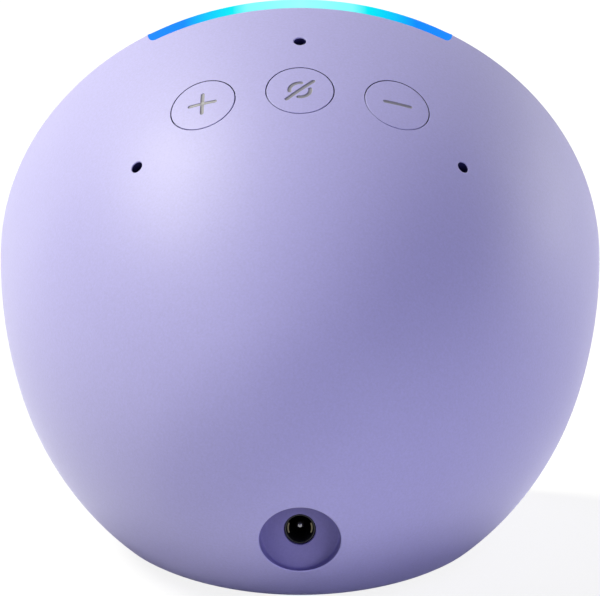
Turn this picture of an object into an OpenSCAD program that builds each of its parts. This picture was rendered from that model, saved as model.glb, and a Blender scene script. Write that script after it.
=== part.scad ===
// Compact smart speaker: a leaning round fabric face, a domed shell behind it, three buttons,
// three microphone holes and a light bar on top, and a power inlet low at the back.
// Millimetres. +Z up, the fabric face looks along -Y, the origin is on the table under the
// middle of the body.

/* [Body] */
// Width across the round rim
body_w = 99; // [96:1:102]
// Height from the table to the top of the rim
body_h = 91; // [89:1:93]
// Backward lean of the round face, in degrees
lean = 14; // [13:0.5:15]
// Height of the rubber foot
foot_h = 1.2; // [1:0.1:1.5]
// Radius of the rubber foot
foot_r = 24.6; // [24.4:0.1:24.8]
// Wall of the rear shell
wall = 2.2; // [2:0.1:2.4]

/* [Shell outline] */
// Radius of the first arc behind the rim
arc_a_r = 140; // [135:1:145]
// Turn of the first arc, in degrees
arc_a_turn = 10; // [9:0.5:11]
// Radius of the second arc
arc_b_r = 70; // [68:1:72]
// Turn of the second arc, in degrees
arc_b_turn = 37; // [36:0.5:38]

/* [Buttons] */
// Distance of the button centres behind the rim
button_s = 25.2; // [24.5:0.1:26]
// Angle from one button to the next, round the body's axis
button_step = 19.8; // [19:0.1:21]
// Radius of a button cap
button_r = 5.5; // [5.2:0.1:5.7]
// Gap between a cap and the shell
button_gap = 0.16; // [0.12:0.01:0.25]

/* [Microphones] */
// Radius of a microphone hole
mic_r = 1.02; // [0.8:0.01:1.2]
// Distance of the top hole behind the rim
mic_top_s = 12.6; // [12:0.1:13]
// Distance of the side holes behind the rim
mic_side_s = 32.4; // [32:0.1:33]
// Angle of the side holes round the body's axis
mic_side_turn = 36; // [35:0.5:37]

/* [Light bar] */
// Half of the light bar's angle round the body's axis
light_half = 30.4; // [29:0.1:31]
// Width of the light bar along the shell
light_w = 2.8; // [2.6:0.1:3]

/* [Power inlet] */
// Height of the inlet's axis
inlet_z = 15.3; // [15:0.1:16]
// Radius of the recess that takes the plug's body
recess_r = 6.68; // [6.5:0.01:6.8]
// Depth of the recess floor behind the origin
recess_y = 30.2; // [29.6:0.1:30.4]
// Radius of the hole in the recess floor
socket_r = 2.6; // [2.56:0.01:2.8]
// Radius of the jack's bore
barrel_r = 2.1; // [2.05:0.01:2.2]
// Radius of the jack's centre pin
pin_r = 0.85; // [0.8:0.01:0.9]

/* [Loudspeaker] */
// Radius of the driver's flange
driver_r = 26.8; // [26.5:0.1:27]
// Distance of the driver's flange behind the rim
driver_s = 4.8; // [4.8:0.1:5]
// Radius of the voice coil's former
coil_r = 9.5; // [9.4:0.1:9.6]
// Radius of the ring magnet
magnet_r = 17.5; // [17:0.1:18]

/* [Hidden] */
$fn = 64;

// Overlap that makes joined shapes one solid, and how far a cutting shape runs past a face
join = 0.1;
past = 1;

lavender = "#b9b0e2";
black = "#202024";
board_green = "#1f5a3c";
steel = "#b4b6ba";
white = "#f0f0f2";
silicone = "#8a8596";

// The outline is three arcs in one plane. Each starts where the last ends, in the same
// direction. The third is a circle about the body's axis, so the dome closes as a sphere.
rim_r = body_w / 2;
cap_turn = arc_a_turn + arc_b_turn;
cap_r = (rim_r - arc_a_r * (1 - cos(arc_a_turn))
         - arc_b_r * (cos(arc_a_turn) - cos(cap_turn))) / cos(cap_turn);
arc_b_x = rim_r - arc_a_r + (arc_a_r - arc_b_r) * cos(arc_a_turn);
arc_b_s = (arc_a_r - arc_b_r) * sin(arc_a_turn);
cap_s = arc_b_s + (arc_b_r - cap_r) * sin(cap_turn);

// Place of the rim's centre, so that the body stands on z = 0 with its middle at y = 0
rim_z = body_h - rim_r * cos(lean);
front_y = -(rim_z - foot_h) * tan(lean);
rear_y = cap_s * cos(lean) + cap_r;
rim_y = -(front_y + rear_y) / 2;

// Front stack, measured behind the rim plane
lip = 0.8;
rabbet_s = 2.5;
fabric_t = 0.5;
fabric_s = 0.1;
frame_s = fabric_s + fabric_t;
frame_t = 1.6;
spigot_t = 2.3;
spigot_s = 5.4;
sound_hole_r = 1.5;
hole_pitch = 4.2;
hole_rings = 5;
// Clearance between the shell's inside and the parts that drop into it
slip = 0.4;
baffle_s = driver_s + 1.7;
baffle_t = 2;
box_s = baffle_s + baffle_t;
box_end = 38;
box_r = 30.5;
box_wall = 1.7;

// Loudspeaker: the flange, the seat of the magnet system, and the cone's neck
flange_depth = 1.2;
flange_s = driver_s + flange_depth;
driver_screw_r = 25;
basket_in = 20.9;
basket_sheet = 1;
seat_s = driver_s + 14.4;
seat_in = 10.4;
seat_out = 18.6;
magnet_s = seat_s + 3;
yoke_s = magnet_s + 7;
plate_out = 17;
pole_r = 8.9;
neck_s = driver_s + 7.2;
former_t = 0.3;
cone_out = 19.2;
cone_t = 0.5;
cap_t = 0.4;
roll_at = 20.3;
roll_r = 1.5;
roll_t = 0.4;
spider_s = 15.1;
spider_t = 0.48;

// Electronics
board_s = box_end + 4;
board_t = 1.6;
board_top = board_s + board_t;
board_w = 52;
board_h = 42;
ribbon_plug_h = 2;
can_w = 24;
can_h = 20;
can_t = 0.3;
can_rise = 3.2;
pad_t = 0.8;
fin_gap = 4;
wire_r = 0.55;
wire_half = 0.8;
wire_x = 12;
wire_y = -17;
grommet_r = 2;

// Light bar's leg and the parts behind it
leg_r = rim_r - 2.7;
leg_t = 2;
light_fit = 0.03;
reflector_in = 44.4;
reflector_out = 47;
reflector_s = 4.6;
led_board_s = 7;
led_board_t = 1;
led_step = 8.6;

// Base
floor_t = 2.4;
floor_z = foot_h + floor_t;
plate_r = 25;
plate_t = 1.2;
base_hole_r = 20;
base_y = -7.1;
base_screw_r = 22.5;
boss_r = 2.4;
boss_h = 3.4;

// Posts inside the shell, and the screws that go into them
post_r = 2.6;
post_length = 17;
post_at = 44.2;
post_turns = [50, 130, 230, 310];
jack_post_r = 2;
jack_post_x = 6.5;
jack_post_y = 14;
pilot_r = 1.05;
shank_r = 1;
shank_fit = 0.2;
head_r = 1.9;
head_t = 0.7;
head_fit = 0.15;
drive_depth = 0.4;
drive_r = 0.9;
post_screw = 11;
short_screw = 4.2;
flange_screw = 3.2;
board_screw = 5;

// Power inlet
recess_wall = 1.8;
jack_w = 9;
jack_h = 11.4;
jack_below = 5.5;
jack_back = 14;
jack_length = jack_back - recess_wall;
nose_fit = 0.08;
bore_depth = 12;
pin_depth = 2;
contact_t = 0.22;
contact_in = 0.25;
contact_arc = 50;
jack_board_z = inlet_z - 5.9;
jack_board_t = 1.2;

// Buttons, measured outwards from the shell's surface
cap_bottom = -2.9;
flange_t = 0.8;
stem_r = 1.5;
plunger_top = -5.8;
switch_top = -6.4;
switch_w = 4.2;
flex_depth = 8;
flex_t = 0.4;
plunger_r = 1.25;
plunger_h = 1.4;
seal_in = 3.3;
seal_out = 3.9;
sheet_t = 0.5;
board_half = 30;
sheet_half = 28;

// Microphones, measured inwards from the shell's inside
gasket_r = 2.6;
gasket_t = 1.6;
mic_board_t = 0.6;
mic_port_r = 0.5;
mic_case_t = 1;

// Slope and radius of the outline at a distance s behind the rim
function slope_at(s) =
    s < arc_a_r * sin(arc_a_turn) ? asin(s / arc_a_r) : asin((s - arc_b_s) / arc_b_r);
function radius_at(s) =
    s < arc_a_r * sin(arc_a_turn) ? rim_r - arc_a_r * (1 - cos(slope_at(s)))
                                  : arc_b_x + arc_b_r * cos(slope_at(s));

// ---- frames ----

// The body's axis: z runs back from the rim, y runs up the face, x runs to -X
module lean_frame() {
    translate([0, rim_y, rim_z]) rotate([90 + lean, 0, 180]) children();
}

// A place on the shell: z is the outward normal, y runs towards the rim
module on_shell(s, turn) {
    lean_frame()
        rotate([0, 0, turn])
            translate([0, radius_at(s), s])
                rotate([slope_at(s) - 90, 0, 0]) children();
}

// The power inlet: z runs out of the recess, from its floor
module inlet_frame() {
    translate([0, recess_y, inlet_z]) rotate([-90, 0, 0]) children();
}

module above(z) {
    translate([-100, -100, z]) cube([200, 200, 200]);
}

// ---- shared shapes ----

// Points along one arc of the outline, from one slope to another
function arc_points(centre, r, from, to, steps) =
    [for (i = [0 : steps]) centre + r * [cos(from + (to - from) * i / steps),
                                         sin(from + (to - from) * i / steps)]];

// Half outline of the dome, moved in by inset; x is the radius, y the distance behind the rim.
// Each step is short enough to stay within 0.02 mm of its arc.
module outline(inset) {
    polygon(concat(
        [[0, 0]],
        arc_points([rim_r - arc_a_r, 0], arc_a_r - inset, 0, arc_a_turn, 6),
        arc_points([arc_b_x, arc_b_s], arc_b_r - inset, arc_a_turn + 2.5, cap_turn, 14),
        arc_points([0, cap_s], cap_r - inset, cap_turn + 3.6, 90, 11)
    ));
}

module dome(inset) {
    rotate_extrude($fn = 180) outline(inset);
}

// A stretch of the shell's wall between two insets, two distances and two turns
module wall_patch(outer, inner, from_s, to_s, from_turn, to_turn) {
    rotate([0, 0, 90 + from_turn])
        rotate_extrude(angle = to_turn - from_turn, $fn = 180)
            intersection() {
                difference() {
                    outline(outer);
                    outline(inner);
                }
                translate([0, from_s]) square([rim_r + 1, to_s - from_s]);
            }
}

// A ring about z, from radius r_in to r_out
module ring(r_in, r_out, from_s, to_s) {
    translate([0, 0, from_s])
        difference() {
            cylinder(r = r_out, h = to_s - from_s);
            translate([0, 0, -past]) cylinder(r = r_in, h = to_s - from_s + 2 * past);
        }
}

// Part of a ring, centred on the top of the body
module top_arc(r_in, r_out, from_s, to_s, half) {
    rotate([0, 0, 90 - half])
        rotate_extrude(angle = 2 * half, $fn = 180)
            translate([r_in, from_s]) square([r_out - r_in, to_s - from_s]);
}

// A screw with its head on top at z = 0 and its shank below
module screw(length) {
    translate([0, 0, -length]) cylinder(r = shank_r, h = length + join);
    difference() {
        cylinder(r = head_r, h = head_t);
        translate([0, 0, head_t - drive_depth]) cylinder(r = drive_r, h = past, $fn = 6);
    }
}

// A round wire through points
module wire(points, r) {
    for (i = [0 : len(points) - 2]) {
        run = points[i + 1] - points[i];
        translate(points[i])
            rotate([0, acos(run.z / norm(run)), atan2(run.y, run.x)])
                translate([0, 0, i > 0 ? -r / 2 : 0])
                    cylinder(r = r, h = norm(run) + (i > 0 ? r / 2 : 0), $fn = 16);
    }
}

module rounded_box(w, d, h, r) {
    translate([r - w / 2, -d / 2, 0]) cube([w - 2 * r, d, h]);
    translate([-w / 2, r - d / 2, 0]) cube([w, d - 2 * r, h]);
    for (x = [-1, 1], y = [-1, 1])
        translate([x * (w / 2 - r), y * (d / 2 - r), 0]) cylinder(r = r, h = h);
}

// ---- casing ----

module at_base_screws() {
    for (turn = [45 : 90 : 315])
        translate([base_screw_r * cos(turn), base_y + base_screw_r * sin(turn), 0]) children();
}

module at_posts() {
    lean_frame() for (turn = post_turns) rotate([0, 0, turn]) translate([0, post_at, 0]) children();
}

module at_mics() {
    on_shell(mic_top_s, 0) children();
    for (side = [-1, 1]) on_shell(mic_side_s, side * mic_side_turn) children();
}

module at_jack_posts() {
    for (side = [-1, 1]) translate([side * jack_post_x, jack_post_y, 0]) children();
}

// Room for the light bar: the lit band in the rim and the leg that feeds it
module light_block(grow) {
    band_r = rim_r - lip - grow;
    lean_frame()
        rotate([0, 0, 90 - light_half - grow])
            rotate_extrude(angle = 2 * (light_half + grow), $fn = 180) {
                translate([band_r, -past]) square([4, light_w + grow + past]);
                translate([leg_r - grow, rabbet_s + 0.05])
                    square([leg_t + 2 * grow, leg_t + grow]);
            }
}

module rear_shell() color(lavender) {
    difference() {
        union() {
            difference() {
                intersection() {
                    lean_frame() dome(0);
                    above(foot_h);
                }
                intersection() {
                    lean_frame() dome(wall);
                    above(floor_z);
                }
            }
            intersection() {
                inlet_frame() translate([0, 0, -recess_wall])
                    cylinder(r = recess_r + recess_wall, h = 20);
                lean_frame() dome(wall / 4);
            }
            at_posts() translate([0, 0, box_s]) cylinder(r = post_r, h = post_length);
            at_base_screws() translate([0, 0, floor_z - join]) cylinder(r = boss_r, h = boss_h + join);
            at_jack_posts() translate([0, 0, floor_z - join])
                cylinder(r = jack_post_r, h = jack_board_z - jack_board_t - floor_z + join);
        }
        intersection() {
            lean_frame() translate([0, 0, -past])
                cylinder(r = rim_r - lip, h = rabbet_s + past, $fn = 180);
            above(foot_h + lip);
        }
        light_block(light_fit);
        for (turn = [-1, 0, 1])
            on_shell(button_s, turn * button_step)
                translate([0, 0, -6]) cylinder(r = button_r + button_gap, h = 10);
        at_mics() translate([0, 0, -4]) cylinder(r = mic_r, h = 6);
        inlet_frame() cylinder(r = recess_r, h = 40);
        inlet_frame() translate([0, 0, -recess_wall - past])
            cylinder(r = socket_r, h = recess_wall + 2 * past);
        translate([0, base_y, 0]) cylinder(r = base_hole_r, h = floor_z + past);
        translate([0, base_y, 0]) cylinder(r = plate_r + 0.1, h = foot_h + plate_t);
        at_posts() translate([0, 0, box_s - past]) cylinder(r = pilot_r, h = post_screw + past);
        at_base_screws() cylinder(r = pilot_r, h = floor_z + boss_h - 0.5);
        at_jack_posts() translate([0, 0, floor_z + 0.9]) cylinder(r = pilot_r, h = 10);
    }
}

// Hard carrier of the fabric, with a round field of sound holes in front of the driver
module front_frame() color(black) {
    spigot_out = rim_r - wall - slip;
    difference() {
        intersection() {
            lean_frame() {
                translate([0, 0, frame_s]) cylinder(r = rim_r - lip - slip, h = frame_t, $fn = 180);
                difference() {
                    ring(spigot_out - spigot_t, spigot_out, frame_s + frame_t - join, spigot_s);
                    top_arc(40, rim_r, frame_s + frame_t, spigot_s + past, light_half + 3);
                }
            }
            above(floor_z + 0.3);
        }
        lean_frame() {
            cylinder(r = sound_hole_r, h = frame_s + frame_t + past);
            for (k = [1 : hole_rings], i = [0 : 6 * k - 1])
                rotate([0, 0, i * 60 / k]) translate([hole_pitch * k, 0, 0])
                    cylinder(r = sound_hole_r, h = frame_s + frame_t + past);
        }
    }
}

module fabric_cover() color("#cfc9ea") {
    difference() {
        intersection() {
            lean_frame() translate([0, 0, fabric_s])
                cylinder(r = rim_r - lip - 0.1, h = fabric_t + frame_t - 0.1, $fn = 180);
            above(foot_h + lip + 0.1);
        }
        intersection() {
            lean_frame() translate([0, 0, frame_s])
                cylinder(r = rim_r - lip - 0.35, h = 5, $fn = 180);
            above(foot_h + lip + 0.35);
        }
    }
}

// ---- light ----

module light_bar() color("#4fd6ff") {
    intersection() {
        lean_frame() dome(0);
        light_block(0);
    }
}

module light_reflector() color(white) lean_frame() {
    difference() {
        top_arc(reflector_in, reflector_out, reflector_s, led_board_s, light_half);
        top_arc(reflector_in + 0.6, reflector_out - 0.6, reflector_s - past, led_board_s + past,
                light_half - 0.8);
    }
}

module led_board() color(board_green) lean_frame() {
    top_arc(reflector_in - 1.8, reflector_out - 0.1, led_board_s, led_board_s + led_board_t,
            light_half);
}

module leds() color("#e8f6ff") lean_frame() {
    for (i = [-3 : 3])
        rotate([0, 0, i * led_step]) translate([-1, reflector_in + 0.65, led_board_s - 0.8])
            cube([2, 1.3, 0.8]);
}

// ---- buttons ----

module button_cap(turn) {
    intersection() {
        on_shell(button_s, turn) translate([0, 0, cap_bottom - join]) cylinder(r = button_r, h = 6);
        lean_frame() dome(0);
    }
    on_shell(button_s, turn) {
        translate([0, 0, cap_bottom - flange_t]) cylinder(r = button_r + 1, h = flange_t);
        translate([0, 0, plunger_top]) cylinder(r = stem_r, h = cap_bottom - plunger_top);
    }
}

module plunger(turn) {
    on_shell(button_s, turn)
        translate([0, 0, plunger_top - plunger_h]) cylinder(r = plunger_r, h = plunger_h);
}

module volume_up_button() color(lavender) button_cap(button_step);

module mic_off_button() color(lavender) button_cap(0);

module volume_down_button() color(lavender) button_cap(-button_step);

module volume_up_plunger() color(black) plunger(button_step);

module mic_off_plunger() color(black) plunger(0);

module volume_down_plunger() color(black) plunger(-button_step);

module at_buttons() {
    for (turn = [-1, 0, 1]) on_shell(button_s, turn * button_step) children();
}

// Silicone sheet on the button board, with a soft collar under each cap
module button_membrane() color(silicone) {
    difference() {
        union() {
            lean_frame() wall_patch(flex_depth - sheet_t, flex_depth, 18, 32, -sheet_half, sheet_half);
            at_buttons() translate([0, 0, -flex_depth]) cylinder(r = seal_out + 0.6, h = 1.2);
            at_buttons() translate([0, 0, -flex_depth + sheet_t - join])
                cylinder(r = seal_out, h = flex_depth - sheet_t + join + cap_bottom - flange_t);
        }
        at_buttons() translate([0, 0, -flex_depth - past]) cylinder(r = seal_in, h = flex_depth);
        lean_frame() dome(flex_depth);
    }
}

module button_board() color("#b07a2a") lean_frame() {
    wall_patch(flex_depth, flex_depth + flex_t, 17, 34, -board_half, board_half);
}

module button_switches() color(black) {
    difference() {
        at_buttons() translate([-switch_w / 2, -switch_w / 2, -flex_depth])
            cube([switch_w, switch_w, switch_top + flex_depth]);
        at_buttons() translate([0, 0, plunger_top - plunger_h - 0.5])
            cylinder(r = plunger_r + 0.08, h = 3);
    }
}

// ---- microphones ----

module mic_gaskets() color(silicone) {
    difference() {
        intersection() {
            at_mics() translate([0, 0, -wall - gasket_t]) cylinder(r = gasket_r, h = 3);
            lean_frame() dome(wall + 0.03);
        }
        at_mics() translate([0, 0, -6]) cylinder(r = mic_r, h = 6);
    }
}

module mic_boards() color(board_green) {
    difference() {
        at_mics() translate([0, 0, -wall - gasket_t - mic_board_t])
            rounded_box(7, 5.4, mic_board_t, 0.8);
        at_mics() translate([0, 0, -6]) cylinder(r = mic_port_r, h = 6);
    }
}

module microphones() color(steel) {
    at_mics() translate([-1.75, -1.3, -wall - gasket_t - mic_board_t - mic_case_t])
        cube([3.5, 2.6, mic_case_t]);
}

// ---- loudspeaker ----

module front_baffle() color(black) {
    difference() {
        intersection() {
            lean_frame() translate([0, 0, baffle_s])
                cylinder(r = rim_r - wall - 1.5 * slip, h = baffle_t, $fn = 180);
            above(floor_z + 0.3);
        }
        lean_frame() {
            translate([0, 0, baffle_s - past]) cylinder(r = basket_in + 0.9, h = baffle_t + 2 * past);
            top_arc(42, rim_r, baffle_s - past, box_s + past, light_half + 3);
            at_driver_screws() translate([0, 0, baffle_s - past]) cylinder(r = pilot_r, h = 2.6);
        }
        at_posts() translate([0, 0, baffle_s - past])
            cylinder(r = shank_r + shank_fit, h = baffle_t + 2 * past);
    }
}

module baffle_screws() color(steel) {
    at_posts() translate([0, 0, baffle_s]) rotate([180, 0, 0]) screw(post_screw);
}

module speaker_box() color(black) {
    difference() {
        lean_frame() {
            difference() {
                translate([0, 0, box_s]) cylinder(r = box_r, h = box_end - box_s, $fn = 128);
                translate([0, 0, box_s - past])
                    cylinder(r = box_r - box_wall, h = box_end - box_s + past - box_wall, $fn = 128);
            }
            at_board_posts() translate([0, 0, box_end - join])
                cylinder(r = 2.2, h = board_s - box_end + join);
        }
        lean_frame() {
            at_board_posts() translate([0, 0, box_end + 0.4]) cylinder(r = pilot_r, h = 10);
            translate([wire_x, wire_y, box_end - 3]) cylinder(r = grommet_r, h = 6);
        }
    }
}

module at_driver_screws() {
    for (turn = [45 : 90 : 315]) rotate([0, 0, turn]) translate([driver_screw_r, 0, 0]) children();
}

module driver_gasket() color(silicone) lean_frame() {
    difference() {
        ring(basket_in + 1.1, driver_r, flange_s, baffle_s);
        at_driver_screws() cylinder(r = shank_r + 0.15, h = baffle_s + past);
    }
}

module driver_basket() color("#3a3c40") lean_frame() {
    shelf_s = spider_s + 0.5;
    difference() {
        union() {
            ring(basket_in, driver_r, driver_s, flange_s);
            rotate_extrude($fn = 128)
                polygon([[basket_in, flange_s - 0.5], [basket_in + 0.7, flange_s - 0.5],
                         [seat_out, seat_s], [seat_out - basket_sheet, seat_s]]);
            ring(seat_out - 3.4, seat_out, shelf_s, shelf_s + 1.2);
            ring(seat_in, seat_out, seat_s - 1.2, seat_s);
        }
        for (turn = [0 : 60 : 300])
            rotate([0, 0, turn]) translate([12, -3.5, flange_s + 1.4]) cube([14, 7, 7]);
        at_driver_screws() translate([0, 0, driver_s - past]) cylinder(r = shank_r + 0.15, h = 4);
    }
}

module driver_screws() color(steel) lean_frame() {
    at_driver_screws() translate([0, 0, driver_s]) rotate([180, 0, 0]) screw(flange_screw);
}

module driver_top_plate() color(steel) lean_frame() ring(seat_in, plate_out, seat_s, magnet_s);

module driver_magnet() color("#45474c") lean_frame() {
    ring(seat_in + 1.6, magnet_r, magnet_s, yoke_s);
}

module driver_yoke() color(steel) lean_frame() {
    translate([0, 0, yoke_s]) cylinder(r = plate_out, h = 3);
    translate([0, 0, seat_s]) cylinder(r = pole_r, h = yoke_s - seat_s + join);
}

module voice_coil() color("#c77a3c") lean_frame() {
    ring(coil_r - former_t, coil_r, neck_s, neck_s + 12);
    ring(coil_r, coil_r + 0.4, neck_s + 6.7, neck_s + 11.7);
}

module driver_cone() color("#2b2b30") lean_frame() {
    rotate_extrude($fn = 128)
        polygon([[cone_out, driver_s], [cone_out - 0.6, driver_s], [coil_r, neck_s],
                 [coil_r, neck_s + cone_t], [coil_r + former_t, neck_s + cone_t],
                 [cone_out, driver_s + cone_t]]);
}

module dust_cap() color("#2b2b30") lean_frame() {
    ball_r = 18;
    height = ball_r - sqrt(ball_r * ball_r - pow(coil_r - 0.35, 2));
    difference() {
        intersection() {
            translate([0, 0, neck_s - height + ball_r]) sphere(r = ball_r, $fn = 128);
            cylinder(r = coil_r - former_t - 0.1, h = neck_s + 0.2);
        }
        translate([0, 0, neck_s + cap_t - height + ball_r]) sphere(r = ball_r, $fn = 128);
    }
}

// Half-roll rubber edge between the cone and the basket
module driver_surround() color("#18181a") lean_frame() {
    lip_s = driver_s - 0.02;
    roll_in = roll_r - roll_t;
    difference() {
        union() {
            ring(roll_at - 1.9, roll_at + 2.6, driver_s - roll_t, lip_s);
            intersection() {
                rotate_extrude($fn = 128) translate([roll_at, driver_s - 0.1]) circle(roll_r, $fn = 48);
                cylinder(r = driver_r, h = lip_s);
            }
        }
        rotate_extrude($fn = 128) translate([roll_at, driver_s - 0.1]) circle(roll_in, $fn = 48);
        ring(roll_at - roll_in + 0.05, roll_at + roll_in - 0.05, driver_s - 0.6, driver_s + past);
    }
}

module driver_spider() color("#a8823c") lean_frame() {
    first_wave = coil_r + 1.8;
    wave_step = 1.6;
    difference() {
        union() {
            ring(coil_r + 0.02, seat_out - 1.2, spider_s, spider_s + spider_t);
            for (k = [0 : 2])
                rotate_extrude($fn = 96) translate([first_wave + wave_step * k, spider_s + 0.1])
                    circle(0.55, $fn = 24);
        }
        for (k = [0 : 2])
            rotate_extrude($fn = 96) translate([first_wave + wave_step * k, spider_s + 0.4])
                circle(0.4, $fn = 24);
    }
}

module speaker_wires() color("#b03030") lean_frame() {
    for (side = [-1, 1])
        wire([[wire_x + side * wire_half, wire_y + 3.4, magnet_s - 2.6],
              [wire_x + side * wire_half, wire_y, magnet_s + 1.8],
              [wire_x + side * wire_half, wire_y, board_s - 0.02]], wire_r);
}

module wire_grommet() color(silicone) lean_frame() translate([wire_x, wire_y, 0]) {
    slit_r = 0.3;
    difference() {
        union() {
            ring(slit_r, grommet_r - 0.02, box_end - box_wall, box_end);
            ring(slit_r, grommet_r + 0.8, box_end, box_end + 0.8);
        }
        for (side = [-1, 1])
            translate([side * wire_half, 0, box_end - 5]) cylinder(r = wire_r + 0.01, h = 12);
    }
}

// ---- electronics ----

module at_board_posts() {
    for (x = [-22, 22], y = [-13, 15]) translate([x, y, 0]) children();
}

module main_board() color(board_green) lean_frame() {
    difference() {
        translate([0, 1, board_s]) rounded_box(board_w, board_h, board_t, 2);
        at_board_posts() translate([0, 0, board_s - past])
            cylinder(r = shank_r + shank_fit, h = board_t + 2 * past);
    }
}

module board_screws() color(steel) lean_frame() {
    at_board_posts() translate([0, 0, board_top]) screw(board_screw);
}

module shield_can() color(steel) lean_frame() {
    translate([-3 - can_w / 2, 3 - can_h / 2, board_top])
        difference() {
            cube([can_w, can_h, can_rise]);
            translate([can_t, can_t, -past])
                cube([can_w - 2 * can_t, can_h - 2 * can_t, can_rise - can_t + past]);
        }
}

module board_chips() color(black) lean_frame() translate([0, 0, board_top]) {
    translate([-10, -2, 0]) cube([12, 10, 1.6]);
    translate([4, 0, 0]) cube([4, 8, 1.2]);
    translate([13, 6, 0]) cube([5, 5, 1.4]);
    translate([13, -4, 0]) cube([5, 4, 2.2]);
    translate([-22, -2, 0]) cube([5, 6, 1.2]);
    for (i = [0 : 3]) translate([-12 + 3 * i, -12, 0]) cube([1.4, 2.4, 1.3]);
}

module board_connectors() color(white) lean_frame() translate([0, 0, board_top]) {
    translate([-4.5, 17, 0]) cube([9, 3, ribbon_plug_h]);
    for (x = [-14, 9]) translate([x, -19, 0]) cube([6, 4, 3.4]);
}

module thermal_pad() color("#9fb4c8") lean_frame() {
    translate([-11, -5, board_top + can_rise]) cube([16, 16, pad_t]);
}

module heat_spreader() color("#c8cacd") lean_frame() {
    plate = 1.2;
    translate([-3, 3, board_top + can_rise + pad_t]) {
        rounded_box(30, 24, plate, 2);
        for (i = [-3 : 3]) translate([fin_gap * i - 0.5, -9, plate - join]) cube([1, 18, 1.5 + join]);
    }
}

module antennas() color("#c9a24a") lean_frame() {
    for (turn = [84, 264])
        wall_patch(wall + 0.05, wall + 0.45, 22, 38, turn, turn + 12);
}

// Flat ribbon from the button board down to the main board
module button_ribbon() color("#c98b2e") lean_frame() {
    start_r = radius_at(33.5) - flex_depth - flex_t;
    plug_s = board_top + ribbon_plug_h;
    rotate([90, 0, 90]) translate([0, 0, -3.5])
        linear_extrude(7)
            polygon([[start_r - 0.9, 33.3], [start_r - 0.6, 33.3], [33.5, 37.9],
                     [18.2, plug_s + 1.5], [18.2, plug_s], [18.5, plug_s],
                     [18.5, plug_s + 1.1], [33.2, 37.7]]);
}

// ---- power inlet ----

module power_jack() color(black) inlet_frame() {
    difference() {
        union() {
            translate([-jack_w / 2, -jack_below, -jack_back]) cube([jack_w, jack_h, jack_length]);
            translate([0, 0, -recess_wall - 0.2]) cylinder(r = socket_r - nose_fit, h = recess_wall - 0.2);
        }
        translate([0, 0, -bore_depth]) cylinder(r = barrel_r, h = bore_depth + past);
    }
}

module jack_pin() color(steel) inlet_frame() {
    translate([0, 0, -bore_depth]) cylinder(r = pin_r, h = bore_depth - pin_depth - pin_r);
    translate([0, 0, -pin_depth - pin_r]) sphere(r = pin_r, $fn = 32);
}

// Two curved spring leaves that touch the plug's sleeve
module jack_contacts() color("#8c8150") inlet_frame() {
    for (turn = [0, 180])
        rotate([0, 0, turn - contact_arc / 2]) translate([0, 0, 0.5 - bore_depth])
            rotate_extrude(angle = contact_arc)
                translate([barrel_r - contact_in, 0]) square([contact_t, bore_depth - 1.5]);
}

module jack_board() color(board_green) {
    difference() {
        translate([0, 17.5, jack_board_z - jack_board_t]) rounded_box(19, 17, jack_board_t, 1.5);
        at_jack_posts() cylinder(r = shank_r + shank_fit, h = 20);
    }
}

module jack_screws() color(steel) {
    at_jack_posts() translate([0, 0, jack_board_z]) screw(short_screw);
}

module power_wires() color("#303036") {
    for (side = [-1, 1])
        wire([[8.2 + side * 0.7, 11.6, jack_board_z + 0.02], [8.2 + side * 0.7, 11.6, 13],
              [8.2 + side * 0.7, 10.8, 14.25]], 0.5);
}

// ---- base ----

module base_plate() color("#6f69a0") {
    difference() {
        translate([0, base_y, foot_h]) {
            cylinder(r = plate_r, h = plate_t, $fn = 128);
            cylinder(r = base_hole_r - head_fit, h = floor_t, $fn = 128);
        }
        at_base_screws() cylinder(r = shank_r + shank_fit, h = floor_z + past);
        at_base_screws() cylinder(r = head_r + head_fit, h = foot_h + head_t);
    }
}

module base_screws() color(steel) {
    at_base_screws() translate([0, 0, foot_h + head_t]) rotate([180, 0, 0]) screw(short_screw);
}

module rubber_foot() color("#4c4678") {
    translate([0, base_y, 0]) cylinder(r = foot_r, h = foot_h, $fn = 128);
}

rear_shell();
front_frame();
fabric_cover();
light_bar();
light_reflector();
led_board();
leds();
volume_up_button();
mic_off_button();
volume_down_button();
volume_up_plunger();
mic_off_plunger();
volume_down_plunger();
button_membrane();
button_board();
button_switches();
mic_gaskets();
microphones();
mic_boards();
front_baffle();
baffle_screws();
speaker_box();
driver_gasket();
driver_basket();
driver_screws();
driver_top_plate();
driver_magnet();
driver_yoke();
voice_coil();
driver_cone();
dust_cap();
driver_surround();
driver_spider();
main_board();
board_screws();
board_chips();
board_connectors();
shield_can();
thermal_pad();
heat_spreader();
antennas();
power_jack();
jack_pin();
jack_contacts();
jack_board();
jack_screws();
base_plate();
base_screws();
rubber_foot();
button_ribbon();
speaker_wires();
power_wires();
wire_grommet();
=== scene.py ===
"""Looks of the domed smart speaker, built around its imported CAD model.

Shapes are worked out in millimetres from the CAD outline and scaled to metres when a mesh is made.
"""

import math

import bmesh
import bpy
import numpy as np
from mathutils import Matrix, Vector
from mathutils.geometry import delaunay_2d_cdt


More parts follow.
